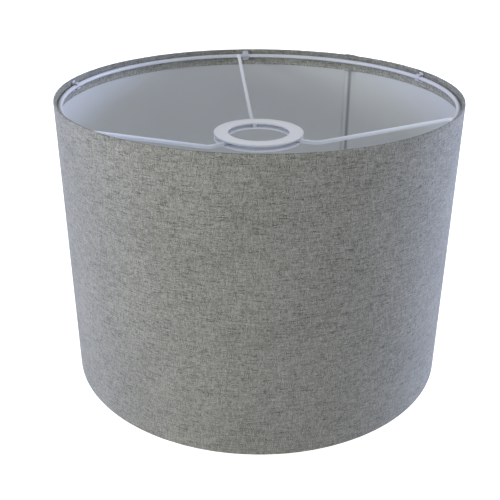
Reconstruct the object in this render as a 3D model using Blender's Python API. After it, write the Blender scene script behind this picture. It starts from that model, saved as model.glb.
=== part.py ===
"""Drum lamp shade: linen-look cloth on a PVC liner, held round by two wire hoops in nylon clips.

The top hoop carries three cranked arms and a flat double ring that seats on the lampholder.
Metres, +Z up. The shade stands on z = 0 with its axis on Z.
"""

import math

import bmesh
import bpy
from mathutils import Vector

# Shade drum.
SHADE_RADIUS = 0.140  # outside of the cloth
SHADE_HEIGHT = 0.205
CLOTH_THICKNESS = 0.0004
LINER_THICKNESS = 0.0003
HEM_DEPTH = 0.0125  # cloth turned in over each edge, measured along the inside
HEM_FOLD_RADIUS = 0.0006
SEAM_AZIMUTH = 57.0  # degrees from +X, middle of the lap
SEAM_LAP = 0.007
SEAM_JOG = 0.002  # run in which the lapping end of the liner steps inwards
SEAM_TAPE_THICKNESS = 0.0002
SEAM_TAPE_MARGIN = 0.0005

# Wire frame.
WIRE_DIAMETER = 0.003
HOOP_INSET = 0.0047  # from the shade's edge to the middle of the hoop's wire
FITTER_DROP = 0.0328  # from the shade's top edge to the middle of the double ring
ARM_AZIMUTHS = {"rear_arm": 97.5, "left_arm": 221.0, "right_arm": 336.0}
ARM_LEVEL_RUN = 0.0123  # from the double ring to the corner that the crank rounds off
ARM_CRANK_RADIUS = 0.030
ARM_TIP_THICKNESS = 0.002  # the wire's end is pressed flat between the plates
ARM_PRESS_RUN = 0.003  # from the double ring to where the wire is round again
ARM_TIP_SETBACK = 0.0005  # from the lampholder hole to the arm's end
RING_DIAMETER = 0.0644
RING_HOLE_DIAMETER = 0.044
RING_THICKNESS = 0.0012

# Snap clips.
CLIP_AZIMUTHS = (95.0, 169.5, 239.0, 311.0, 25.5)
CLIP_WIDTH = 0.005
CLIP_HEIGHT = 0.0078
CLIP_WEB = 0.0004
CLIP_JAW = 0.0009
CLIP_MOUTH_ANGLE = 30.0  # from the mouth's middle to a jaw's tip

FIT_GAP = 0.0003  # between faces that touch or seat on each other

ROUND_STEPS = 96
WIRE_SIDES = 10
FILLET_STEPS = 3
JAW_STEPS = 8

# Sizes that follow from those above.
WIRE_RADIUS = WIRE_DIAMETER / 2
WALL_INNER = SHADE_RADIUS - CLOTH_THICKNESS
LINER_OUTER = WALL_INNER - FIT_GAP
LINER_INNER = LINER_OUTER - LINER_THICKNESS
HEM_OUTER = LINER_INNER - FIT_GAP
HEM_INNER = HEM_OUTER - CLOTH_THICKNESS
TAPE_OUTER = LINER_INNER - FIT_GAP
TAPE_INNER = TAPE_OUTER - SEAM_TAPE_THICKNESS
LAP_MIDDLE = TAPE_INNER - FIT_GAP - LINER_THICKNESS / 2
LINER_MIDDLE = (LINER_OUTER + LINER_INNER) / 2
LINER_MARGIN = CLOTH_THICKNESS + FIT_GAP  # from the shade's edge to the liner's
LAP_MARGIN = HEM_DEPTH + FIT_GAP
WEB_INNER = HEM_INNER - FIT_GAP - CLIP_WEB
HOOP_RADIUS = WEB_INNER - FIT_GAP - WIRE_RADIUS
TOP_HOOP_Z = SHADE_HEIGHT - HOOP_INSET
FITTER_Z = SHADE_HEIGHT - FITTER_DROP
RING_OFFSET = ARM_TIP_THICKNESS / 2 + FIT_GAP  # from the double ring's middle to a plate's face


def hex_colour(code):
    """Linear colour of an sRGB hex code."""
    values = [int(code[i : i + 2], 16) / 255 for i in (0, 2, 4)]
    linear = [v / 12.92 if v <= 0.04045 else ((v + 0.055) / 1.055) ** 2.4 for v in values]
    return (*linear, 1.0)


def finish(name, colour, roughness, metallic=0.0):
    """A Principled material."""
    material = bpy.data.materials.new(name)
    material.use_nodes = True
    shader = material.node_tree.nodes["Principled BSDF"]
    shader.inputs["Base Color"].default_value = hex_colour(colour)
    shader.inputs["Roughness"].default_value = roughness
    shader.inputs["Metallic"].default_value = metallic
    material.diffuse_color = hex_colour(colour)
    return material


def add_object(name, data, material, parent=None):
    """Link an object that holds this data and wears this material."""
    if not data.materials:
        data.materials.append(material)
    obj = bpy.data.objects.new(name, data)
    bpy.context.collection.objects.link(obj)
    obj.parent = parent
    return obj


def add_sheet(name, mesh, material, thickness):
    """Link a sheet from its middle surface, with half its thickness on each side."""
    sheet = add_object(name, mesh, material)
    wall = sheet.modifiers.new("sheet thickness", "SOLIDIFY")
    wall.thickness = thickness
    wall.offset = 0
    wall.use_even_offset = True


def mesh_from(bm, name):
    """Turn a finished bmesh into a smooth-shaded mesh with its normals out."""
    bmesh.ops.recalc_face_normals(bm, faces=bm.faces)
    mesh = bpy.data.meshes.new(name)
    bm.to_mesh(mesh)
    bm.free()
    mesh.shade_smooth()
    mesh.set_sharp_from_angle(angle=math.radians(35))
    return mesh


def filleted(points, radii, closed):
    """The corner points with an arc of FILLET_STEPS steps in place of each corner with a radius."""
    path = []
    count = len(points)
    for i, (point, radius) in enumerate(zip(points, radii)):
        at_end = not closed and i in (0, count - 1)
        if radius == 0 or at_end:
            path.append(point)
            continue
        back = (points[i - 1] - point).normalized()
        ahead = (points[(i + 1) % count] - point).normalized()
        half = back.angle(ahead) / 2
        start = point + back * radius / math.tan(half)
        centre = point + (back + ahead).normalized() * radius / math.sin(half)
        spoke = start - centre
        side = (point - centre).normalized()
        side = (side - spoke.normalized() * side.dot(spoke.normalized())).normalized()
        sweep = math.pi - 2 * half
        for step in range(FILLET_STEPS + 1):
            turn = sweep * step / FILLET_STEPS
            path.append(centre + spoke * math.cos(turn) + side * radius * math.sin(turn))
    return path


def revolved(name, profile):
    """A closed ring: the closed outline, with points as (radius, height), turned once round Z."""
    bm = bmesh.new()
    corners = [bm.verts.new((point.x, 0, point.y)) for point in profile]
    outline = [bm.edges.new((corners[i - 1], corners[i])) for i in range(len(corners))]
    bmesh.ops.spin(
        bm,
        geom=corners + outline,
        cent=(0, 0, 0),
        axis=(0, 0, 1),
        angle=2 * math.pi,
        steps=ROUND_STEPS,
        use_merge=True,
    )
    return mesh_from(bm, name)


def on_circle(radius, azimuth, height):
    """The point at this radius and azimuth (degrees) round Z."""
    angle = math.radians(azimuth)
    return Vector((radius * math.cos(angle), radius * math.sin(angle), height))


def arc_degrees(length, radius):
    """The angle that an arc of this length takes."""
    return math.degrees(length / radius)


def cloth_cover_mesh():
    """The cloth drum, turned in over both edges and down the inside as hems."""
    top = SHADE_HEIGHT
    outline = [
        ((SHADE_RADIUS, 0), HEM_FOLD_RADIUS),
        ((SHADE_RADIUS, top), HEM_FOLD_RADIUS),
        ((HEM_INNER, top), HEM_FOLD_RADIUS),
        ((HEM_INNER, top - HEM_DEPTH), 0),
        ((HEM_OUTER, top - HEM_DEPTH), 0),
        ((HEM_OUTER, top - CLOTH_THICKNESS), 0),
        ((WALL_INNER, top - CLOTH_THICKNESS), 0),
        ((WALL_INNER, CLOTH_THICKNESS), 0),
        ((HEM_OUTER, CLOTH_THICKNESS), 0),
        ((HEM_OUTER, HEM_DEPTH), 0),
        ((HEM_INNER, HEM_DEPTH), 0),
        ((HEM_INNER, 0), HEM_FOLD_RADIUS),
    ]
    points = [Vector(point) for point, _ in outline]
    radii = [radius for _, radius in outline]
    return revolved("fabric_cover", filleted(points, radii, closed=True))


def curved_sheet(name, columns):
    """The middle surface of an upright sheet, from columns of (radius, azimuth, heights) side by side."""
    bm = bmesh.new()
    built = []
    for radius, azimuth, heights in columns:
        built.append([bm.verts.new(on_circle(radius, azimuth, height)) for height in heights])
    for left, right in zip(built, built[1:]):
        shared = left[1:-1] if len(left) > len(right) else left
        for row in range(len(right) - 1):
            bm.faces.new((shared[row], right[row], right[row + 1], shared[row + 1]))
    mesh = bpy.data.meshes.new(name)
    bm.to_mesh(mesh)
    bm.free()
    mesh.shade_smooth()
    return mesh


def liner_mesh():
    """One turn of sheet, whose far end steps inwards and laps over its start between the hems."""
    half_lap = arc_degrees(SEAM_LAP, LINER_MIDDLE) / 2
    start = SEAM_AZIMUTH - half_lap
    lap_start = start + 360 - arc_degrees(2 * FIT_GAP, LINER_MIDDLE)
    lap_end = start + 360 + 2 * half_lap
    turn = lap_start - arc_degrees(SEAM_JOG, LINER_MIDDLE) - start
    lap_heights = [LAP_MARGIN, SHADE_HEIGHT - LAP_MARGIN]
    heights = [LINER_MARGIN, *lap_heights, SHADE_HEIGHT - LINER_MARGIN]
    columns = []
    for i in range(ROUND_STEPS + 1):
        columns.append((LINER_MIDDLE, start + turn * i / ROUND_STEPS, heights))
    for azimuth in (lap_start, (lap_start + lap_end) / 2, lap_end):
        columns.append((LAP_MIDDLE, azimuth, lap_heights))
    return curved_sheet("liner", columns)


def seam_tape_mesh():
    """The strip of tape between the liner's two lapped ends."""
    middle = (TAPE_OUTER + TAPE_INNER) / 2
    half = arc_degrees(SEAM_LAP / 2 - SEAM_TAPE_MARGIN, middle)
    low = LAP_MARGIN + SEAM_TAPE_MARGIN
    heights = [low, SHADE_HEIGHT - low]
    columns = [(middle, SEAM_AZIMUTH + half * side, heights) for side in (-1, 0, 1)]
    return curved_sheet("lap_seam_tape", columns)


def hoop_mesh():
    """A closed round wire hoop about its own centre."""
    outline = []
    for i in range(WIRE_SIDES):
        angle = 2 * math.pi * i / WIRE_SIDES
        outline.append(Vector((HOOP_RADIUS + WIRE_RADIUS * math.cos(angle), WIRE_RADIUS * math.sin(angle))))
    return revolved("hoop", outline)


def arm_mesh():
    """A cranked arm along +X: down from the hoop, then level to a flat tip between the ring's plates."""
    outer_end = Vector((HOOP_RADIUS - WIRE_RADIUS - FIT_GAP, 0, TOP_HOOP_Z))
    crank = Vector((RING_DIAMETER / 2 + ARM_LEVEL_RUN, 0, FITTER_Z))
    round_end = Vector((RING_DIAMETER / 2 + ARM_PRESS_RUN, 0, FITTER_Z))
    flat_start = Vector((RING_DIAMETER / 2, 0, FITTER_Z))
    inner_end = Vector((RING_HOLE_DIAMETER / 2 + ARM_TIP_SETBACK, 0, FITTER_Z))
    route = filleted([outer_end, crank, round_end], [0, ARM_CRANK_RADIUS, 0], closed=False)
    squash = ARM_TIP_THICKNESS / WIRE_DIAMETER
    stations = [(point, 1) for point in route] + [(flat_start, squash), (inner_end, squash)]
    across = Vector((0, 1, 0))
    bm = bmesh.new()
    rings = []
    for i, (point, share) in enumerate(stations):
        before = stations[max(i - 1, 0)][0]
        after = stations[min(i + 1, len(stations) - 1)][0]
        upwards = across.cross(before - after).normalized() * WIRE_RADIUS * share
        sideways = across * WIRE_RADIUS / share
        ring = []
        for step in range(WIRE_SIDES):
            angle = 2 * math.pi * (step + 0.5) / WIRE_SIDES
            ring.append(bm.verts.new(point + sideways * math.cos(angle) + upwards * math.sin(angle)))
        rings.append(ring)
    for ring, following in zip(rings, rings[1:]):
        for i in range(WIRE_SIDES):
            bm.faces.new((ring[i - 1], ring[i], following[i], following[i - 1]))
    bm.faces.new(rings[0])
    bm.faces.new(rings[-1])
    return mesh_from(bm, "fitter_arm")


def ring_plate_mesh():
    """A flat ring plate with its lower face on z = 0."""
    inner = RING_HOLE_DIAMETER / 2
    outer = RING_DIAMETER / 2
    corners = [(outer, 0), (outer, RING_THICKNESS), (inner, RING_THICKNESS), (inner, 0)]
    return revolved("ring_plate", [Vector(corner) for corner in corners])


def clip_mesh():
    """A snap clip about the middle of its wire: a web behind the wire and two jaws, mouth towards +X."""
    web_back = -(WIRE_RADIUS + FIT_GAP + CLIP_WEB)
    web_front = web_back + CLIP_WEB
    bore = WIRE_RADIUS + FIT_GAP
    outside = bore + CLIP_JAW
    tip = math.radians(CLIP_MOUTH_ANGLE)
    root = math.acos(web_front / outside)
    upper = [(web_front, CLIP_HEIGHT / 2)]
    for step in range(JAW_STEPS + 1):
        angle = root + (tip - root) * step / JAW_STEPS
        upper.append((outside * math.cos(angle), outside * math.sin(angle)))
    for step in range(JAW_STEPS + 1):
        angle = tip + (math.pi - tip) * step / JAW_STEPS
        upper.append((bore * math.cos(angle), bore * math.sin(angle)))
    lower = [(x, -z) for x, z in reversed(upper[:-1])]
    back = [(web_back, -CLIP_HEIGHT / 2), (web_back, CLIP_HEIGHT / 2)]
    bm = bmesh.new()
    outline = [bm.verts.new((x, -CLIP_WIDTH / 2, z)) for x, z in upper + lower + back]
    side = bm.faces.new(outline)
    grown = bmesh.ops.extrude_face_region(bm, geom=[side], use_keep_orig=True)
    moved = [item for item in grown["geom"] if isinstance(item, bmesh.types.BMVert)]
    bmesh.ops.translate(bm, verts=moved, vec=(0, CLIP_WIDTH, 0))
    return mesh_from(bm, "snap_clip")


def add_clips(prefix, height, mesh, material):
    """Stand the clips round the shade with their mouths towards its axis."""
    for number, azimuth in enumerate(CLIP_AZIMUTHS, start=1):
        clip = add_object(f"{prefix}_{number}", mesh, material)
        clip.location = on_circle(HOOP_RADIUS, azimuth, height)
        clip.rotation_euler.z = math.radians(azimuth + 180)


def add_axis(name, height):
    """The empty whose Z is the axis that a hoop turns about."""
    axis = bpy.data.objects.new(name, None)
    axis.location.z = height
    axis.empty_display_size = 0.02
    bpy.context.collection.objects.link(axis)
    return axis


def build():
    for obj in list(bpy.data.objects):
        bpy.data.objects.remove(obj, do_unlink=True)

    cloth = finish("grey_linen_weave", "878982", 0.95)
    pvc = finish("white_pvc_sheet", "dfe2e8", 0.55)
    tape = finish("clear_tape", "e6e4da", 0.35)
    coated = finish("white_powder_coat", "e9ebf0", 0.35)
    nylon = finish("natural_nylon", "eef0f2", 0.4)

    add_object("fabric_cover", cloth_cover_mesh(), cloth)
    add_sheet("liner", liner_mesh(), pvc, LINER_THICKNESS)
    add_sheet("lap_seam_tape", seam_tape_mesh(), tape, SEAM_TAPE_THICKNESS)

    clip = clip_mesh()
    add_clips("top_clip", TOP_HOOP_Z, clip, nylon)
    add_clips("bottom_clip", HOOP_INSET, clip, nylon)

    hoop = hoop_mesh()
    frame_axis = add_axis("fitter_frame_axis", TOP_HOOP_Z)
    add_object("top_hoop", hoop, coated, frame_axis)
    arm = arm_mesh()
    for name, azimuth in ARM_AZIMUTHS.items():
        piece = add_object(name, arm, coated, frame_axis)
        piece.location.z = -TOP_HOOP_Z
        piece.rotation_euler.z = math.radians(azimuth)
    plate = ring_plate_mesh()
    upper = add_object("upper_ring_plate", plate, coated, frame_axis)
    upper.location.z = FITTER_Z + RING_OFFSET - TOP_HOOP_Z
    lower = add_object("lower_ring_plate", plate, coated, frame_axis)
    lower.location.z = FITTER_Z - RING_OFFSET - RING_THICKNESS - TOP_HOOP_Z

    bottom_axis = add_axis("bottom_hoop_axis", HOOP_INSET)
    add_object("bottom_hoop", hoop, coated, bottom_axis)


build()
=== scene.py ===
import math

import bmesh
import bpy
from mathutils import Matrix, Vector, noise


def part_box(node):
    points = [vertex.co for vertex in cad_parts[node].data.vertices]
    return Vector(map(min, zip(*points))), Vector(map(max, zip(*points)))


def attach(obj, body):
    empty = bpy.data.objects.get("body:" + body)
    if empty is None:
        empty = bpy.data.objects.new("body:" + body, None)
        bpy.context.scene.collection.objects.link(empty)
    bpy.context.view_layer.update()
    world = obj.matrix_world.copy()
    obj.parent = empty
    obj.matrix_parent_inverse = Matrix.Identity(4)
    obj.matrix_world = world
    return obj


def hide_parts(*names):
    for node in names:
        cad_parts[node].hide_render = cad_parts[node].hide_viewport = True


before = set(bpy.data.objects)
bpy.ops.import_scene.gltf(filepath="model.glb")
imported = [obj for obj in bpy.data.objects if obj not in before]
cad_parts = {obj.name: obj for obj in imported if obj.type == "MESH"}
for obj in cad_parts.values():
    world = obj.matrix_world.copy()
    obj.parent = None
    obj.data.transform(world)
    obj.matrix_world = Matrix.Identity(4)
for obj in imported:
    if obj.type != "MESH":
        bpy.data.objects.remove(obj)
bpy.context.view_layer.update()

mm = 0.001
fullTurn = 2 * math.pi
fitGap = 0.3 * mm  # what the frame leaves between pieces that touch

# places read from the frame
coverHigh = Vector(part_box("fabric_cover")[1])
hoopLow, hoopHigh = (Vector(corner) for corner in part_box("top_hoop"))
lowHoopLow, lowHoopHigh = (Vector(corner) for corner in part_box("bottom_hoop"))
plateLow, plateHigh = (Vector(corner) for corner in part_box("upper_ring_plate"))
lowPlateLow, lowPlateHigh = (Vector(corner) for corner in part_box("lower_ring_plate"))
shadeRadius = coverHigh.y
shadeHeight = coverHigh.z
wireRadius = (hoopHigh.z - hoopLow.z) / 2
hoopRadius = hoopHigh.x - wireRadius
topHoopZ = (hoopHigh.z + hoopLow.z) / 2
bottomHoopZ = (lowHoopHigh.z + lowHoopLow.z) / 2
ringZ = (plateLow.z + lowPlateHigh.z) / 2
plateRadius = plateHigh.x


def linear(code):
    # sRGB hex to the linear colour that shaders take
    values = [int(code[i : i + 2], 16) / 255 for i in (0, 2, 4)]
    return tuple(v / 12.92 if v <= 0.04045 else ((v + 0.055) / 1.055) ** 2.4 for v in values) + (1.0,)


def addNode(tree, kind, inputs=None, **settings):
    node = tree.nodes.new(kind)
    for key, value in settings.items():
        setattr(node, key, value)
    for socket, value in (inputs or {}).items():
        if isinstance(value, bpy.types.NodeSocket):
            tree.links.new(value, node.inputs[socket])
        else:
            node.inputs[socket].default_value = value
    return node


def newMaterial(name):
    material = bpy.data.materials.new(name)
    material.use_nodes = True
    tree = material.node_tree
    tree.nodes.clear()
    shader = addNode(tree, "ShaderNodeBsdfPrincipled")
    addNode(tree, "ShaderNodeOutputMaterial", {"Surface": shader.outputs[0]})
    return material, tree, shader


def newPiece(name, bm, material, sharpAngle=40):
    mesh = bpy.data.meshes.new(name)
    bm.to_mesh(mesh)
    bm.free()
    mesh.shade_smooth()
    mesh.set_sharp_from_angle(angle=math.radians(sharpAngle))
    mesh.materials.append(material)
    piece = bpy.data.objects.new(name, mesh)
    bpy.context.collection.objects.link(piece)
    return piece


def place(piece, body, slot, *nodes):
    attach(piece, body)
    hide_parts(*nodes)


# camera, lights and floor come first
print("stage")
cameraView = {
    "distance": 0.5445,  # to the middle of the top edge
    "elevation": 14.05,  # degrees above that edge
    "lookDown": 25.94,
    "turn": -0.63,
    "roll": 0.26,
    "lens": 54.95,
}
lighting = {
    "sky": "ffffff",
    "skyStrength": 0.62,
    "horizon": (0.08, 0.16),  # where the backdrop ends and the air begins, as the sine of the elevation
    "backdrop": 1.05,
    "tableGlow": 0.68,
    "tableColours": ("f4f4f4", "f8f8f8"),
    # azimuth in degrees, height and distance in metres, (width, height), colour, watts
    "softboxes": {
        "leftSoftbox": (165, 0.24, 1.3, (0.7, 0.46), "8f9fff", 10.0),
        "frontLeftSoftbox": (205, 0.24, 1.3, (0.7, 0.46), "fffff2", 12.2),
        "rightSoftbox": (25, 0.24, 1.3, (0.7, 0.46), "ccd7ff", 28.0),
    },
}


def makeCamera():
    raised = math.radians(cameraView["elevation"])
    down = math.radians(cameraView["lookDown"])
    turn = math.radians(cameraView["turn"])
    roll = math.radians(cameraView["roll"])
    forward = Vector((math.sin(turn) * math.cos(down), math.cos(turn) * math.cos(down), -math.sin(down)))
    right = forward.cross(Vector((0, 0, 1))).normalized()
    up = right.cross(forward)
    tiltedRight = right * math.cos(roll) + up * math.sin(roll)
    tiltedUp = up * math.cos(roll) - right * math.sin(roll)
    camera = bpy.data.objects.new("camera", bpy.data.cameras.new("camera"))
    camera.data.lens = cameraView["lens"]
    camera.data.sensor_width = 36
    axes = Matrix((tiltedRight, tiltedUp, -forward)).transposed().to_4x4()
    away = cameraView["distance"]
    axes.translation = Vector((0, -away * math.cos(raised), shadeHeight + away * math.sin(raised)))
    camera.matrix_world = axes
    camera.data.clip_start = 0.01
    bpy.context.collection.objects.link(camera)
    bpy.context.scene.camera = camera


def makeSoftbox(name, azimuth, height, distance, size, colour, power):
    lamp = bpy.data.lights.new(name, "AREA")
    lamp.shape = "RECTANGLE"
    lamp.size, lamp.size_y = size
    lamp.energy = power
    lamp.color = linear(colour)[:3]
    box = bpy.data.objects.new(name, lamp)
    angle = math.radians(azimuth)
    box.location = (distance * math.cos(angle), distance * math.sin(angle), height)
    aim = Vector((0, 0, shadeHeight / 2)) - box.location
    box.rotation_euler = aim.to_track_quat("-Z", "Y").to_euler()
    bpy.context.collection.objects.link(box)


def makeStage():
    world = bpy.data.worlds.new("studioAir")
    world.use_nodes = True
    tree = world.node_tree
    sky = tree.nodes["Background"]
    sky.inputs["Color"].default_value = linear(lighting["sky"])
    bpy.context.scene.world = world

    # white paper backdrop up to the low horizon, dimmer air above it
    direction = addNode(tree, "ShaderNodeTexCoord").outputs["Generated"]
    upwards = addNode(tree, "ShaderNodeSeparateXYZ", {0: direction}).outputs[2]
    low, high = lighting["horizon"]
    fade = {0: upwards, 1: low, 2: high, 3: lighting["backdrop"], 4: lighting["skyStrength"]}
    strength = addNode(tree, "ShaderNodeMapRange", fade).outputs[0]
    tree.links.new(strength, sky.inputs["Strength"])
    for name, settings in lighting["softboxes"].items():
        makeSoftbox(name, *settings)

    # opal acrylic light table, cast: matt white and lit from below, so that shadows stay faint
    material, tree, shader = newMaterial("opalAcrylicTable")
    coords = addNode(tree, "ShaderNodeTexCoord").outputs["Object"]
    cloud = addNode(tree, "ShaderNodeTexNoise", {"Vector": coords, "Scale": 3.0, "Detail": 2.0}).outputs[0]
    dark, light = (linear(code) for code in lighting["tableColours"])
    tint = addNode(tree, "ShaderNodeMix", {0: cloud, 6: dark, 7: light}, data_type="RGBA")
    tree.links.new(tint.outputs[2], shader.inputs["Base Color"])
    shader.inputs["Roughness"].default_value = 0.9
    shader.inputs["Emission Color"].default_value = (1, 1, 1, 1)
    shader.inputs["Emission Strength"].default_value = lighting["tableGlow"]
    bm = bmesh.new()
    bmesh.ops.create_grid(bm, x_segments=8, y_segments=8, size=20)
    floor = newPiece("floor", bm, material)
    bpy.context.scene.view_settings.view_transform = "Standard"


makeCamera()
makeStage()


# cloth cover: one cut panel wrapped round the liner, hemmed over both edges
print("cloth cover")
cloth = {
    "thickness": 0.4 * mm,
    "hemDepth": 12.5 * mm,
    "wallToHem": 1.3 * mm,  # between the middles of the wall and of the hem
    "seamAzimuth": 57.0,
    "lap": 8 * mm,
    "lapRamp": 2.5 * mm,
    "lapLift": 0.5 * mm,
    "columns": 384,
    "hemRows": 5,
    "foldRows": 7,
    "wallRows": 58,
    "waveHeight": 0.16 * mm,
    "ripplesRound": 3.1,
    "ripplesUp": 14,  # to the metre
    "edgeWave": 0.22 * mm,
    "edgeRipples": 23,
    "yarnPitch": 0.65 * mm,
    "driftWave": 40 * mm,  # yarns wander slowly off their line
    "driftSize": 0.5 * mm,
    "cloudsPerMetre": 22.0,  # faint patches that break up the even grey
    "warpTone": 4 * mm,  # how far a yarn keeps one tone
    "weftTone": 6 * mm,
    "slubLength": 8 * mm,
    "speckShare": 0.22,  # how much each crossing differs from its neighbours
    "darkYarn": "373835",
    "lightYarn": "8c8d88",
    "hemPaintedLight": 1.5,  # painted light: the fold and the turned-in hem are made paler than the stretched wall, partly for worn yarn at the fold
    "cutEdgePaintedLight": 1.5,  # and more painted light towards its cut edge
    "cutEdgeFade": 6 * mm,
    "yarnDepth": 0.2 * mm,
    "sheenTint": "dfe6f5",
}


def clothMaterial():
    # linen-look polyester, plain woven from uneven heathered yarn: matt and grey, with fine dark dashes
    material, tree, shader = newMaterial("linenLookPlainWeave")
    pitch = cloth["yarnPitch"]
    uv = addNode(tree, "ShaderNodeUVMap", uv_map="cutCloth").outputs[0]
    wave = 1 / cloth["driftWave"]
    drift = addNode(
        tree, "ShaderNodeTexNoise", {"Vector": uv, "Scale": wave, "Detail": 1.0}, noise_dimensions="2D"
    ).outputs["Color"]
    middle = (0.5, 0.5, 0.5)
    offset = addNode(tree, "ShaderNodeVectorMath", {0: drift, 1: middle}, operation="SUBTRACT").outputs[0]
    size = cloth["driftSize"]
    bend = addNode(tree, "ShaderNodeVectorMath", {0: offset, "Scale": size}, operation="SCALE").outputs[0]
    bent = addNode(tree, "ShaderNodeVectorMath", {0: uv, 1: bend}, operation="ADD").outputs[0]
    counted = addNode(tree, "ShaderNodeVectorMath", {0: bent, "Scale": 1 / pitch}, operation="SCALE")
    yarns = addNode(tree, "ShaderNodeSeparateXYZ", {0: counted.outputs[0]})
    across, up = yarns.outputs[0], yarns.outputs[1]

    # which yarn lies on top changes from crossing to crossing
    warpNumber = addNode(tree, "ShaderNodeMath", {0: across}, operation="FLOOR").outputs[0]
    weftNumber = addNode(tree, "ShaderNodeMath", {0: up}, operation="FLOOR").outputs[0]
    crossing = addNode(tree, "ShaderNodeMath", {0: warpNumber, 1: weftNumber}, operation="ADD").outputs[0]
    halved = addNode(tree, "ShaderNodeMath", {0: crossing, 1: 0.5}, operation="MULTIPLY").outputs[0]
    parity = addNode(tree, "ShaderNodeMath", {0: halved}, operation="FRACT").outputs[0]
    warpOnTop = addNode(tree, "ShaderNodeMath", {0: parity, 1: 0.25}, operation="GREATER_THAN").outputs[0]

    # each yarn keeps its own tone for some millimetres, then changes
    def yarnNoise(along, number, length, seed, detail):
        rate = pitch / length
        slow = addNode(tree, "ShaderNodeMath", {0: along, 1: rate}, operation="MULTIPLY").outputs[0]
        apart = addNode(tree, "ShaderNodeMath", {0: number, 1: 1.37}, operation="MULTIPLY").outputs[0]
        spot = addNode(tree, "ShaderNodeCombineXYZ", {0: slow, 1: apart, 2: seed}).outputs[0]
        pattern = addNode(tree, "ShaderNodeTexNoise", {"Vector": spot, "Scale": 1.0, "Detail": detail})
        return pattern.outputs[0]

    weftTone = yarnNoise(across, weftNumber, cloth["weftTone"], 0.5, 2.0)
    warpTone = yarnNoise(up, warpNumber, cloth["warpTone"], 7.3, 2.0)
    slubNoise = yarnNoise(across, weftNumber, cloth["slubLength"], 3.1, 1.0)
    yarnTone = addNode(tree, "ShaderNodeMix", {0: warpOnTop, 2: weftTone, 3: warpTone}).outputs[0]
    cell = addNode(tree, "ShaderNodeCombineXYZ", {0: warpNumber, 1: weftNumber}).outputs[0]
    speck = addNode(tree, "ShaderNodeTexWhiteNoise", {"Vector": cell}, noise_dimensions="2D").outputs[0]
    tone = addNode(tree, "ShaderNodeMix", {0: cloth["speckShare"], 2: yarnTone, 3: speck}).outputs[0]
    spread = addNode(tree, "ShaderNodeMapRange", {0: tone, 1: 0.25, 2: 0.75, 3: 0.12, 4: 0.94}).outputs[0]
    slub = addNode(tree, "ShaderNodeMapRange", {0: slubNoise, 1: 0.57, 2: 0.70, 3: 0.0, 4: 0.2}).outputs[0]
    dulled = addNode(
        tree, "ShaderNodeMath", {0: spread, 1: slub}, operation="SUBTRACT", use_clamp=True
    ).outputs[0]
    yarn = addNode(
        tree,
        "ShaderNodeMix",
        {0: dulled, 6: linear(cloth["darkYarn"]), 7: linear(cloth["lightYarn"])},
        data_type="RGBA",
    ).outputs[2]
    often = cloth["cloudsPerMetre"]
    cloud = addNode(
        tree, "ShaderNodeTexNoise", {"Vector": uv, "Scale": often, "Detail": 3.0}, noise_dimensions="2D"
    ).outputs[0]
    shade = addNode(tree, "ShaderNodeMapRange", {0: cloud, 1: 0.3, 2: 0.7, 3: 0.95, 4: 1.05}).outputs[0]
    clouded = addNode(tree, "ShaderNodeVectorMath", {0: yarn, "Scale": shade}, operation="SCALE").outputs[0]

    # from the wall over the fold to the hem, with painted light over the fold and hem
    halfCut = clothRows()[-1] / 2
    foldTop = halfCut - cloth["hemDepth"] + foldCentre() - math.pi * cloth["wallToHem"] / 4
    cutUp = addNode(tree, "ShaderNodeSeparateXYZ", {0: uv}).outputs[1]
    fromMiddle = addNode(tree, "ShaderNodeMath", {0: cutUp, 1: halfCut}, operation="SUBTRACT").outputs[0]
    away = addNode(tree, "ShaderNodeMath", {0: fromMiddle}, operation="ABSOLUTE").outputs[0]
    paintedHemLight = addNode(
        tree, "ShaderNodeMapRange", {0: away, 1: foldTop - 1 * mm, 2: foldTop, 3: 1.0, 4: cloth["hemPaintedLight"]}
    ).outputs[0]
    edge = addNode(
        tree,
        "ShaderNodeMapRange",
        {0: away, 1: halfCut - cloth["cutEdgeFade"], 2: halfCut, 3: 1.0, 4: cloth["cutEdgePaintedLight"]},
    ).outputs[0]
    # painted light: the fold and hem are lightened, and lightened again towards the cut edge
    lift = addNode(tree, "ShaderNodeMath", {0: paintedHemLight, 1: edge}, operation="MULTIPLY").outputs[0]
    colour = addNode(tree, "ShaderNodeVectorMath", {0: clouded, "Scale": lift}, operation="SCALE")
    tree.links.new(colour.outputs[0], shader.inputs["Base Color"])

    # round yarns, high in the middle
    def yarnRound(along):
        halfTurns = addNode(tree, "ShaderNodeMath", {0: along, 1: math.pi}, operation="MULTIPLY").outputs[0]
        wave = addNode(tree, "ShaderNodeMath", {0: halfTurns}, operation="SINE").outputs[0]
        return addNode(tree, "ShaderNodeMath", {0: wave}, operation="ABSOLUTE").outputs[0]

    rounds = {0: yarnRound(across), 1: yarnRound(up)}
    height = addNode(tree, "ShaderNodeMath", rounds, operation="MULTIPLY").outputs[0]
    uneven = addNode(tree, "ShaderNodeMath", {0: height, 1: tone}, operation="ADD").outputs[0]
    depth = cloth["yarnDepth"]
    bump = addNode(tree, "ShaderNodeBump", {"Height": uneven, "Strength": 0.5, "Distance": depth})
    tree.links.new(bump.outputs[0], shader.inputs["Normal"])
    shader.inputs["Roughness"].default_value = 0.95
    shader.inputs["Sheen Weight"].default_value = 0.2
    shader.inputs["Sheen Roughness"].default_value = 0.4
    shader.inputs["Sheen Tint"].default_value = linear(cloth["sheenTint"])
    shader.inputs["Specular IOR Level"].default_value = 0.2
    return material


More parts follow.
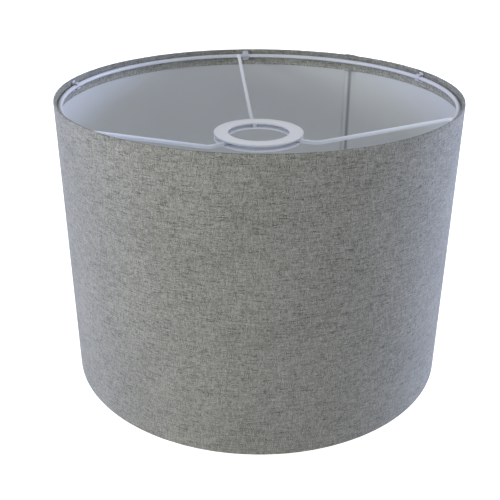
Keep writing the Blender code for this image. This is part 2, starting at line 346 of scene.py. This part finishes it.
def clothRows():
    # distances along the cut cloth, closer together where it folds
    wall = shadeHeight - 2 * foldCentre()
    fold = math.pi * cloth["wallToHem"] / 2
    hem = cloth["hemDepth"] - foldCentre()
    rows = [0.0]
    for length, count in (
        (hem, cloth["hemRows"]),
        (fold, cloth["foldRows"]),
        (wall, cloth["wallRows"]),
        (fold, cloth["foldRows"]),
        (hem, cloth["hemRows"]),
    ):
        start = rows[-1]
        rows += [start + length * (i + 1) / count for i in range(count)]
    return rows


def foldCentre():
    return cloth["wallToHem"] / 2 + cloth["thickness"] / 2


def clothPlace(along):
    # radius, height and outward direction (radius, height) at this distance along the cut
    foldRadius = cloth["wallToHem"] / 2
    wallRadius = shadeRadius - cloth["thickness"] / 2
    middle = wallRadius - foldRadius
    hem = cloth["hemDepth"] - foldCentre()
    fold = math.pi * foldRadius
    wall = shadeHeight - 2 * foldCentre()
    if along <= hem:
        return middle - foldRadius, cloth["hemDepth"] - along, (-1, 0)
    along -= hem
    if along <= fold:
        turn = along / foldRadius
        out = (-math.cos(turn), -math.sin(turn))
        return middle + foldRadius * out[0], foldCentre() + foldRadius * out[1], out
    along -= fold
    if along <= wall:
        return wallRadius, foldCentre() + along, (1, 0)
    along -= wall
    if along <= fold:
        turn = along / foldRadius
        out = (math.cos(turn), math.sin(turn))
        return middle + foldRadius * out[0], shadeHeight - foldCentre() + foldRadius * out[1], out
    return middle - foldRadius, shadeHeight - foldCentre() - (along - fold), (-1, 0)


def smoothStep(value):
    value = min(max(value, 0.0), 1.0)
    return value * value * (3 - 2 * value)


def makeCover(material):
    rows = clothRows()
    girth = fullTurn * shadeRadius
    cut = (girth + cloth["lap"], rows[-1])
    bm = bmesh.new()
    bmesh.ops.create_grid(
        bm,
        x_segments=cloth["columns"],
        y_segments=len(rows) - 1,
        size=0.5,
        matrix=Matrix.Translation((0.5, 0.5, 0)),
    )
    flat = bm.loops.layers.uv.new("cutCloth")
    for vert in bm.verts:
        row = round(vert.co.y * (len(rows) - 1))
        vert.co = (vert.co.x * cut[0], rows[row], 0)
    for face in bm.faces:
        for corner in face.loops:
            corner[flat].uv = corner.vert.co.xy
    lapStart = girth - cloth["lapRamp"]
    for vert in bm.verts:
        around, along = vert.co.x, vert.co.y
        radius, height, out = clothPlace(along)
        azimuth = math.radians(cloth["seamAzimuth"]) + (around - cloth["lap"] / 2) / shadeRadius
        spoke = Vector((math.cos(azimuth), math.sin(azimuth), 0))
        atTop = height > shadeHeight / 2

        # long shallow ripples all over, and short ones along the two folded edges
        ripple = noise.noise(spoke * cloth["ripplesRound"] + Vector((0, 0, along * cloth["ripplesUp"])))
        lift = cloth["waveHeight"] * (0.5 + 0.5 * ripple)
        lift += cloth["lapLift"] * smoothStep((around - lapStart) / cloth["lapRamp"])
        edge = noise.noise(spoke * cloth["edgeRipples"] + Vector((0, 0, 5.0 if atTop else 9.0)))
        lift += cloth["edgeWave"] * (0.5 + 0.5 * edge) * abs(out[1])
        radius += out[0] * lift

        # the bottom edge stays level, because the shade stands on it
        if atTop:
            height += out[1] * lift
        vert.co = (radius * math.cos(azimuth), radius * math.sin(azimuth), height)
    bmesh.ops.recalc_face_normals(bm, faces=bm.faces)
    cover = newPiece("clothCover", bm, material, sharpAngle=80)
    body = cover.modifiers.new("clothThickness", "SOLIDIFY")
    body.thickness = cloth["thickness"]
    body.offset = 0
    place(cover, "shade", "cloth", "fabric_cover")


makeCover(clothMaterial())


# liner: one stiff sheet, its end lapped and taped over its start
print("liner")
linerLow, linerHigh = (Vector(corner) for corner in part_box("liner"))
liner = {
    "thickness": 0.3 * mm,
    "lap": 7 * mm,
    "lapRamp": 2 * mm,
    "lapDrop": 1.1 * mm,
    "columns": 360,
    "rows": 24,
    "colour": "bfc3c7",
    # the lap's grey is painted shade, for the step's shadow and the dimmer light through the double layer
    "seamShadeColour": "8b8d8f",
    "seamShadeAt": 2.2 * mm,  # where the painted shade line along the lap seam lies
    "seamShadeFade": (0.5 * mm, 2.2 * mm),  # full painted shade up to the first, none beyond the second
}


def linerMaterial():
    # PVC lampshade film, calendered: smooth and satin, a little cloudy, with a painted shade line along the
    # lap seam
    material, tree, shader = newMaterial("calenderedPvcFilm")
    uv = addNode(tree, "ShaderNodeUVMap", uv_map="cutSheet").outputs[0]
    cloud = addNode(
        tree, "ShaderNodeTexNoise", {"Vector": uv, "Scale": 9.0, "Detail": 4.0}, noise_dimensions="2D"
    ).outputs[0]
    shade = addNode(tree, "ShaderNodeMapRange", {0: cloud, 1: 0.3, 2: 0.7, 3: 0.97, 4: 1.03}).outputs[0]
    around = addNode(tree, "ShaderNodeSeparateXYZ", {0: uv}).outputs[0]
    line = fullTurn * (linerHigh.y - liner["thickness"] / 2) + liner["seamShadeAt"]
    fromLine = addNode(tree, "ShaderNodeMath", {0: around, 1: line}, operation="SUBTRACT").outputs[0]
    apart = addNode(tree, "ShaderNodeMath", {0: fromLine}, operation="ABSOLUTE").outputs[0]
    near, far = liner["seamShadeFade"]
    seamShade = addNode(tree, "ShaderNodeMapRange", {0: apart, 1: near, 2: far, 3: 1.0, 4: 0.0})
    # painted shade: the liner goes grey along the lap seam
    colour = addNode(
        tree,
        "ShaderNodeMix",
        {0: seamShade.outputs[0], 6: linear(liner["colour"]), 7: linear(liner["seamShadeColour"])},
        data_type="RGBA",
    )
    tinted = addNode(tree, "ShaderNodeVectorMath", {0: colour.outputs[2], "Scale": shade}, operation="SCALE")
    tree.links.new(tinted.outputs[0], shader.inputs["Base Color"])
    grain = addNode(
        tree, "ShaderNodeTexNoise", {"Vector": uv, "Scale": 1400.0, "Detail": 2.0}, noise_dimensions="2D"
    ).outputs[0]
    rough = addNode(tree, "ShaderNodeMapRange", {0: cloud, 1: 0.3, 2: 0.7, 3: 0.58, 4: 0.68}).outputs[0]
    tree.links.new(rough, shader.inputs["Roughness"])
    bump = addNode(tree, "ShaderNodeBump", {"Height": grain, "Strength": 0.12, "Distance": 0.05 * mm})
    tree.links.new(bump.outputs[0], shader.inputs["Normal"])
    shader.inputs["Specular IOR Level"].default_value = 0.3
    return material


def makeLiner(material):
    middle = linerHigh.y - liner["thickness"] / 2
    girth = fullTurn * middle
    height = linerHigh.z - linerLow.z
    lapMargin = cloth["hemDepth"] + fitGap - linerLow.z
    levels = [0.0, lapMargin]
    levels += [lapMargin + (height - 2 * lapMargin) * (i + 1) / liner["rows"] for i in range(liner["rows"])]
    levels.append(height)
    bm = bmesh.new()
    bmesh.ops.create_grid(
        bm,
        x_segments=liner["columns"],
        y_segments=len(levels) - 1,
        size=0.5,
        matrix=Matrix.Translation((0.5, 0.5, 0)),
    )
    flat = bm.loops.layers.uv.new("cutSheet")
    for vert in bm.verts:
        vert.co = (vert.co.x * (girth + liner["lap"]), levels[round(vert.co.y * (len(levels) - 1))], 0)
    for face in bm.faces:
        for corner in face.loops:
            corner[flat].uv = corner.vert.co.xy

    # the lapping end is notched, so that it lies only between the hems
    trimmed = [
        face for face in bm.faces
        if face.calc_center_median().x > girth - liner["lapRamp"]
        and not lapMargin < face.calc_center_median().y < height - lapMargin
    ]
    bmesh.ops.delete(bm, geom=trimmed, context="FACES")
    for vert in bm.verts:
        around, up = vert.co.x, vert.co.y
        lapped = smoothStep((around - girth + liner["lapRamp"]) / liner["lapRamp"])
        radius = middle - liner["lapDrop"] * lapped
        azimuth = math.radians(cloth["seamAzimuth"]) + (around - liner["lap"] / 2) / middle
        vert.co = (radius * math.cos(azimuth), radius * math.sin(azimuth), linerLow.z + up)
    bmesh.ops.recalc_face_normals(bm, faces=bm.faces)
    sheet = newPiece("linerSheet", bm, material, sharpAngle=60)
    body = sheet.modifiers.new("sheetThickness", "SOLIDIFY")
    body.thickness = liner["thickness"]
    body.offset = 0
    place(sheet, "shade", "liner_sheet", "liner")


makeLiner(linerMaterial())


# wire frame: two hoops, three arms and a double ring
print("wire frame")
wire = {
    "sides": 16,
    "steps": 360,
    "slopeSteps": 14,
    "bendSteps": 8,
    "levelSteps": 24,
    "plateSteps": 160,
    "plateEdge": 0.22 * mm,
    "sharpFrom": 1.2,  # radians between two faces
    "armAzimuths": {"rear": 97.5, "left": 221.0, "right": 336.0},
    "crankGap": 12.3 * mm,  # from the double ring's edge to the corner that the bend rounds off
    "crankRadius": 30 * mm,
    "pressRun": 3 * mm,  # from the double ring's edge to where the wire is round again
    "tipSetback": 0.5 * mm,
    "holeRadius": 22 * mm,
    "armSink": 0.45,  # the arm's end stands this share of a wire's radius inside the hoop's centre line
    "weldBead": (1.5 * mm, 2.1 * mm, 1.7 * mm),  # half its length, width and height
    "weldDrop": 0.2 * mm,
    "buttWeldAzimuth": 140.0,
    "buttWeldSwell": 0.3 * mm,
    "buttWeldSpread": 1.6 * 1.4 * mm,
    # one white powder coat in three tones: painted shade on the hoop, painted light on the plates, the arms
    # between, all tinted blue for the cool light
    "hoopPaintedLightColours": ("c3c8d4", "ccd0d9"),
    "armPaintedLightColours": ("dbe1ee", "e3e8f2"),
    "platePaintedLightColours": ("ebf0fc", "f2f5fd"),
}


def coatMaterial(name, colours):
    # mild steel under polyester powder coat, baked: satin white with a faint orange peel
    material, tree, shader = newMaterial(name)
    coords = addNode(tree, "ShaderNodeTexCoord").outputs["Object"]
    peel = addNode(tree, "ShaderNodeTexNoise", {"Vector": coords, "Scale": 900.0, "Detail": 2.0}).outputs[0]
    cloud = addNode(tree, "ShaderNodeTexNoise", {"Vector": coords, "Scale": 45.0, "Detail": 3.0}).outputs[0]
    dark, light = (linear(code) for code in colours)
    tint = addNode(tree, "ShaderNodeMix", {0: cloud, 6: dark, 7: light}, data_type="RGBA")
    tree.links.new(tint.outputs[2], shader.inputs["Base Color"])
    rough = addNode(tree, "ShaderNodeMapRange", {0: cloud, 1: 0.3, 2: 0.7, 3: 0.3, 4: 0.4}).outputs[0]
    tree.links.new(rough, shader.inputs["Roughness"])
    bump = addNode(tree, "ShaderNodeBump", {"Height": peel, "Strength": 0.2, "Distance": 0.06 * mm})
    tree.links.new(bump.outputs[0], shader.inputs["Normal"])
    return material


def upright(radius, azimuth, height):
    # where a point at this radius stands, with its X axis pointing outwards
    turned = Matrix.Rotation(math.radians(azimuth), 4, "Z")
    return Matrix.Translation((0, 0, height)) @ turned @ Matrix.Translation((radius, 0, 0))


def makeHoop(name, node, body, height, material):
    bm = bmesh.new()
    section = upright(hoopRadius, 0, height) @ Matrix.Rotation(math.pi / 2, 4, "X")
    bmesh.ops.create_circle(bm, segments=wire["sides"], radius=wireRadius, matrix=section)
    bmesh.ops.spin(
        bm,
        geom=bm.verts[:] + bm.edges[:],
        cent=(0, 0, 0),
        axis=(0, 0, 1),
        angle=fullTurn,
        steps=wire["steps"],
        use_merge=True,
    )
    weld = math.radians(wire["buttWeldAzimuth"])
    weldPlace = Vector((math.cos(weld), math.sin(weld), 0)) * hoopRadius + Vector((0, 0, height))
    for vert in bm.verts:
        away = (vert.co - weldPlace).length
        swell = wire["buttWeldSwell"] * math.exp(-((away / wire["buttWeldSpread"]) ** 2))
        heart = Vector((vert.co.x, vert.co.y, 0)).normalized() * hoopRadius + Vector((0, 0, height))
        vert.co += (vert.co - heart).normalized() * swell
    bmesh.ops.recalc_face_normals(bm, faces=bm.faces)
    hoop = newPiece(name, bm, material)
    place(hoop, body, "coated_wire", node)


def makeArm(name, node, azimuth, material):
    # drawn along +X, then turned to its azimuth
    outerX = hoopRadius - wireRadius * wire["armSink"]
    crankX = plateRadius + wire["crankGap"]
    innerX = wire["holeRadius"] + wire["tipSetback"]
    slope = math.atan2(topHoopZ - ringZ, hoopRadius - wireRadius - fitGap - crankX)
    inward = Vector((-math.cos(slope), 0, -math.sin(slope)))
    outer = Vector((crankX, 0, ringZ)) - inward * ((outerX - crankX) / math.cos(slope))
    tangent = wire["crankRadius"] * math.tan(slope / 2)
    bm = bmesh.new()
    facing = inward.to_track_quat("Z", "Y").to_matrix().to_4x4()
    bmesh.ops.create_circle(
        bm,
        cap_ends=True,
        segments=wire["sides"],
        radius=wireRadius,
        matrix=Matrix.Translation(outer) @ facing,
    )
    end = next(iter(bm.faces))
    straight = (outerX - crankX) / math.cos(slope) - tangent

    # down the slope, round the bend, then level into the double ring
    for _ in range(wire["slopeSteps"]):
        end = extrudeFace(bm, end, inward * straight / wire["slopeSteps"])
    centre = Vector((crankX - tangent, 0, ringZ + wire["crankRadius"]))
    turn = Matrix.Rotation(slope / wire["bendSteps"], 3, "Y")
    for _ in range(wire["bendSteps"]):
        end = extrudeFace(bm, end, Vector((0, 0, 0)))
        bmesh.ops.rotate(bm, verts=end.verts[:], cent=centre, matrix=turn)
    levelStep = Vector((innerX - crankX + tangent, 0, 0)) / wire["levelSteps"]
    for _ in range(wire["levelSteps"]):
        end = extrudeFace(bm, end, levelStep)

    # the wire's end is pressed flat, so that both plates lie on it
    squash = (plateLow.z - lowPlateHigh.z) / (2 * wireRadius)
    for vert in bm.verts:
        share = smoothStep((plateRadius + wire["pressRun"] - vert.co.x) / wire["pressRun"])
        factor = 1 + (squash - 1) * share
        if share > 0:
            vert.co = (vert.co.x, vert.co.y / factor, ringZ + (vert.co.z - ringZ) * factor)

    # weld bead against the inside of the hoop
    weldSpot = Vector((hoopRadius - wireRadius * 1.05, 0, topHoopZ - wire["weldDrop"]))
    bmesh.ops.create_uvsphere(
        bm,
        u_segments=20,
        v_segments=12,
        radius=1,
        matrix=Matrix.Translation(weldSpot) @ Matrix.Diagonal((*wire["weldBead"], 1)),
    )
    aimed = Matrix.Rotation(math.radians(azimuth), 3, "Z")
    bmesh.ops.rotate(bm, verts=bm.verts, cent=(0, 0, 0), matrix=aimed)
    bmesh.ops.recalc_face_normals(bm, faces=bm.faces)
    arm = newPiece(name, bm, material)
    place(arm, "fitter_frame", "coated_wire", node)


def extrudeFace(bm, face, step):
    grown = bmesh.ops.extrude_face_region(bm, geom=[face])
    verts = [item for item in grown["geom"] if isinstance(item, bmesh.types.BMVert)]
    bmesh.ops.translate(bm, verts=verts, vec=step)
    return [item for item in grown["geom"] if isinstance(item, bmesh.types.BMFace)][0]


def bevelEdges(bm, edges, radius, steps):
    bmesh.ops.bevel(
        bm, geom=edges, offset=radius, affect="EDGES", segments=steps, profile=0.5, material=-1
    )


def makePlate(name, node, low, high, material):
    bm = bmesh.new()
    hole = wire["holeRadius"]
    corners = [(plateRadius, low), (plateRadius, high), (hole, high), (hole, low)]
    verts = [bm.verts.new((radius, 0, height)) for radius, height in corners]
    edges = [bm.edges.new((verts[i - 1], verts[i])) for i in range(4)]
    bmesh.ops.spin(
        bm,
        geom=verts + edges,
        cent=(0, 0, 0),
        axis=(0, 0, 1),
        angle=fullTurn,
        steps=wire["plateSteps"],
        use_merge=True,
    )
    bmesh.ops.recalc_face_normals(bm, faces=bm.faces)
    rims = [edge for edge in bm.edges if edge.calc_face_angle(0) > wire["sharpFrom"]]
    bevelEdges(bm, rims, wire["plateEdge"], 3)
    plate = newPiece(name, bm, material, sharpAngle=50)
    place(plate, "fitter_frame", "coated_wire", node)


# the same coat three times over, each lighter or darker by painted light and shade
hoopCoatPaintedLight = coatMaterial("powderCoatWithPaintedLightOnHoop", wire["hoopPaintedLightColours"])
armCoatPaintedLight = coatMaterial("powderCoatWithPaintedLightOnArms", wire["armPaintedLightColours"])
plateCoatPaintedLight = coatMaterial("powderCoatWithPaintedLightOnPlates", wire["platePaintedLightColours"])
makeHoop("topHoop", "top_hoop", "fitter_frame", topHoopZ, hoopCoatPaintedLight)
makeHoop("bottomHoop", "bottom_hoop", "bottom_hoop", bottomHoopZ, hoopCoatPaintedLight)
for side, azimuth in wire["armAzimuths"].items():
    makeArm(f"{side}Arm", f"{side}_arm", azimuth, armCoatPaintedLight)
makePlate("upperRingPlate", "upper_ring_plate", plateLow.z, plateHigh.z, plateCoatPaintedLight)
makePlate("lowerRingPlate", "lower_ring_plate", lowPlateLow.z, lowPlateHigh.z, plateCoatPaintedLight)


# snap clips between the hoops and the hems
print("clips")
clip = {
    "azimuths": (95.0, 169.5, 239.0, 311.0, 25.5),
    "width": 5 * mm,
    "height": 7.8 * mm,
    "web": 0.4 * mm,
    "jaw": 0.9 * mm,
    "mouth": 30.0,
    "steps": 8,
    "edgeRadius": 0.15 * mm,
    "cornerRadius": 1.1 * mm,
    "sharpFrom": 0.8,  # radians between two faces
    "colours": ("b4b7c3", "c6c9d3"),
}


def nylonMaterial():
    # natural nylon, injection moulded: milky, lets a little light in, faintly grained
    material, tree, shader = newMaterial("mouldedNaturalNylon")
    coords = addNode(tree, "ShaderNodeTexCoord").outputs["Object"]
    grain = addNode(tree, "ShaderNodeTexNoise", {"Vector": coords, "Scale": 600.0, "Detail": 3.0}).outputs[0]
    dark, light = (linear(code) for code in clip["colours"])
    tint = addNode(tree, "ShaderNodeMix", {0: grain, 6: dark, 7: light}, data_type="RGBA")
    tree.links.new(tint.outputs[2], shader.inputs["Base Color"])
    bump = addNode(tree, "ShaderNodeBump", {"Height": grain, "Strength": 0.15, "Distance": 0.05 * mm})
    tree.links.new(bump.outputs[0], shader.inputs["Normal"])
    shader.inputs["Roughness"].default_value = 0.38
    shader.inputs["Subsurface Weight"].default_value = 0.15
    shader.inputs["Subsurface Scale"].default_value = 1 * mm
    return material


def clipOutline():
    # round the wire's middle: mouth towards +X, web behind at -X
    bore = wireRadius + fitGap
    outside = bore + clip["jaw"]
    tip = math.radians(clip["mouth"])
    root = math.acos(-bore / outside)
    upper = [(-bore, clip["height"] / 2)]
    for radius, start, end in ((outside, root, tip), (bore, tip, math.pi)):
        for i in range(clip["steps"] + 1):
            angle = start + (end - start) * i / clip["steps"]
            upper.append((radius * math.cos(angle), radius * math.sin(angle)))
    back = -bore - clip["web"]
    lower = [(x, -z) for x, z in reversed(upper[:-1])]
    return upper + lower + [(back, -clip["height"] / 2), (back, clip["height"] / 2)]


def makeClip(name, node, azimuth, height, material):
    bm = bmesh.new()
    halfHeight = clip["height"] / 2
    halfWidth = clip["width"] / 2
    side = bm.faces.new([bm.verts.new((x, -halfWidth, z)) for x, z in clipOutline()])
    grown = bmesh.ops.extrude_face_region(bm, geom=[side], use_keep_orig=True)
    verts = [item for item in grown["geom"] if isinstance(item, bmesh.types.BMVert)]
    bmesh.ops.translate(bm, verts=verts, vec=(0, clip["width"], 0))
    bmesh.ops.recalc_face_normals(bm, faces=bm.faces)

    # the web's four corners are rounded first, then every edge is eased
    corners = [
        edge for edge in bm.edges
        if all(abs(abs(vert.co.z) - halfHeight) < fitGap and abs(abs(vert.co.y) - halfWidth) < fitGap
               for vert in edge.verts)
        and abs(edge.verts[0].co.x - edge.verts[1].co.x) > 0.5 * clip["web"]
    ]
    bevelEdges(bm, corners, clip["cornerRadius"], 5)
    sharp = [edge for edge in bm.edges if edge.calc_face_angle(0) > clip["sharpFrom"]]
    bevelEdges(bm, sharp, clip["edgeRadius"], 2)
    seat = upright(hoopRadius, azimuth, height) @ Matrix.Rotation(math.pi, 4, "Z")
    bmesh.ops.transform(bm, verts=bm.verts, matrix=seat)
    piece = newPiece(name, bm, material, sharpAngle=50)
    place(piece, "shade", "clip_nylon", node)


nylon = nylonMaterial()
for number, azimuth in enumerate(clip["azimuths"], start=1):
    makeClip(f"topClip{number}", f"top_clip_{number}", azimuth, topHoopZ, nylon)
    makeClip(f"bottomClip{number}", f"bottom_clip_{number}", azimuth, bottomHoopZ, nylon)


# seam tape: the frame's own piece, hidden inside the liner's lap
print("tape")
tape = {
    "colours": ("c9c6b8", "d8d6cb"),
}


def tapeMaterial():
    # double-sided acrylic tape, slit from a roll: clear and slightly yellow between the liner's ends
    material, tree, shader = newMaterial("clearAcrylicTape")
    coords = addNode(tree, "ShaderNodeTexCoord").outputs["Object"]
    haze = addNode(tree, "ShaderNodeTexNoise", {"Vector": coords, "Scale": 300.0, "Detail": 2.0}).outputs[0]
    dark, light = (linear(code) for code in tape["colours"])
    tint = addNode(tree, "ShaderNodeMix", {0: haze, 6: dark, 7: light}, data_type="RGBA")
    tree.links.new(tint.outputs[2], shader.inputs["Base Color"])
    shader.inputs["Roughness"].default_value = 0.3
    return material


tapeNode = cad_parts["lap_seam_tape"]
tapeNode.data.materials.clear()
tapeNode.data.materials.append(tapeMaterial())
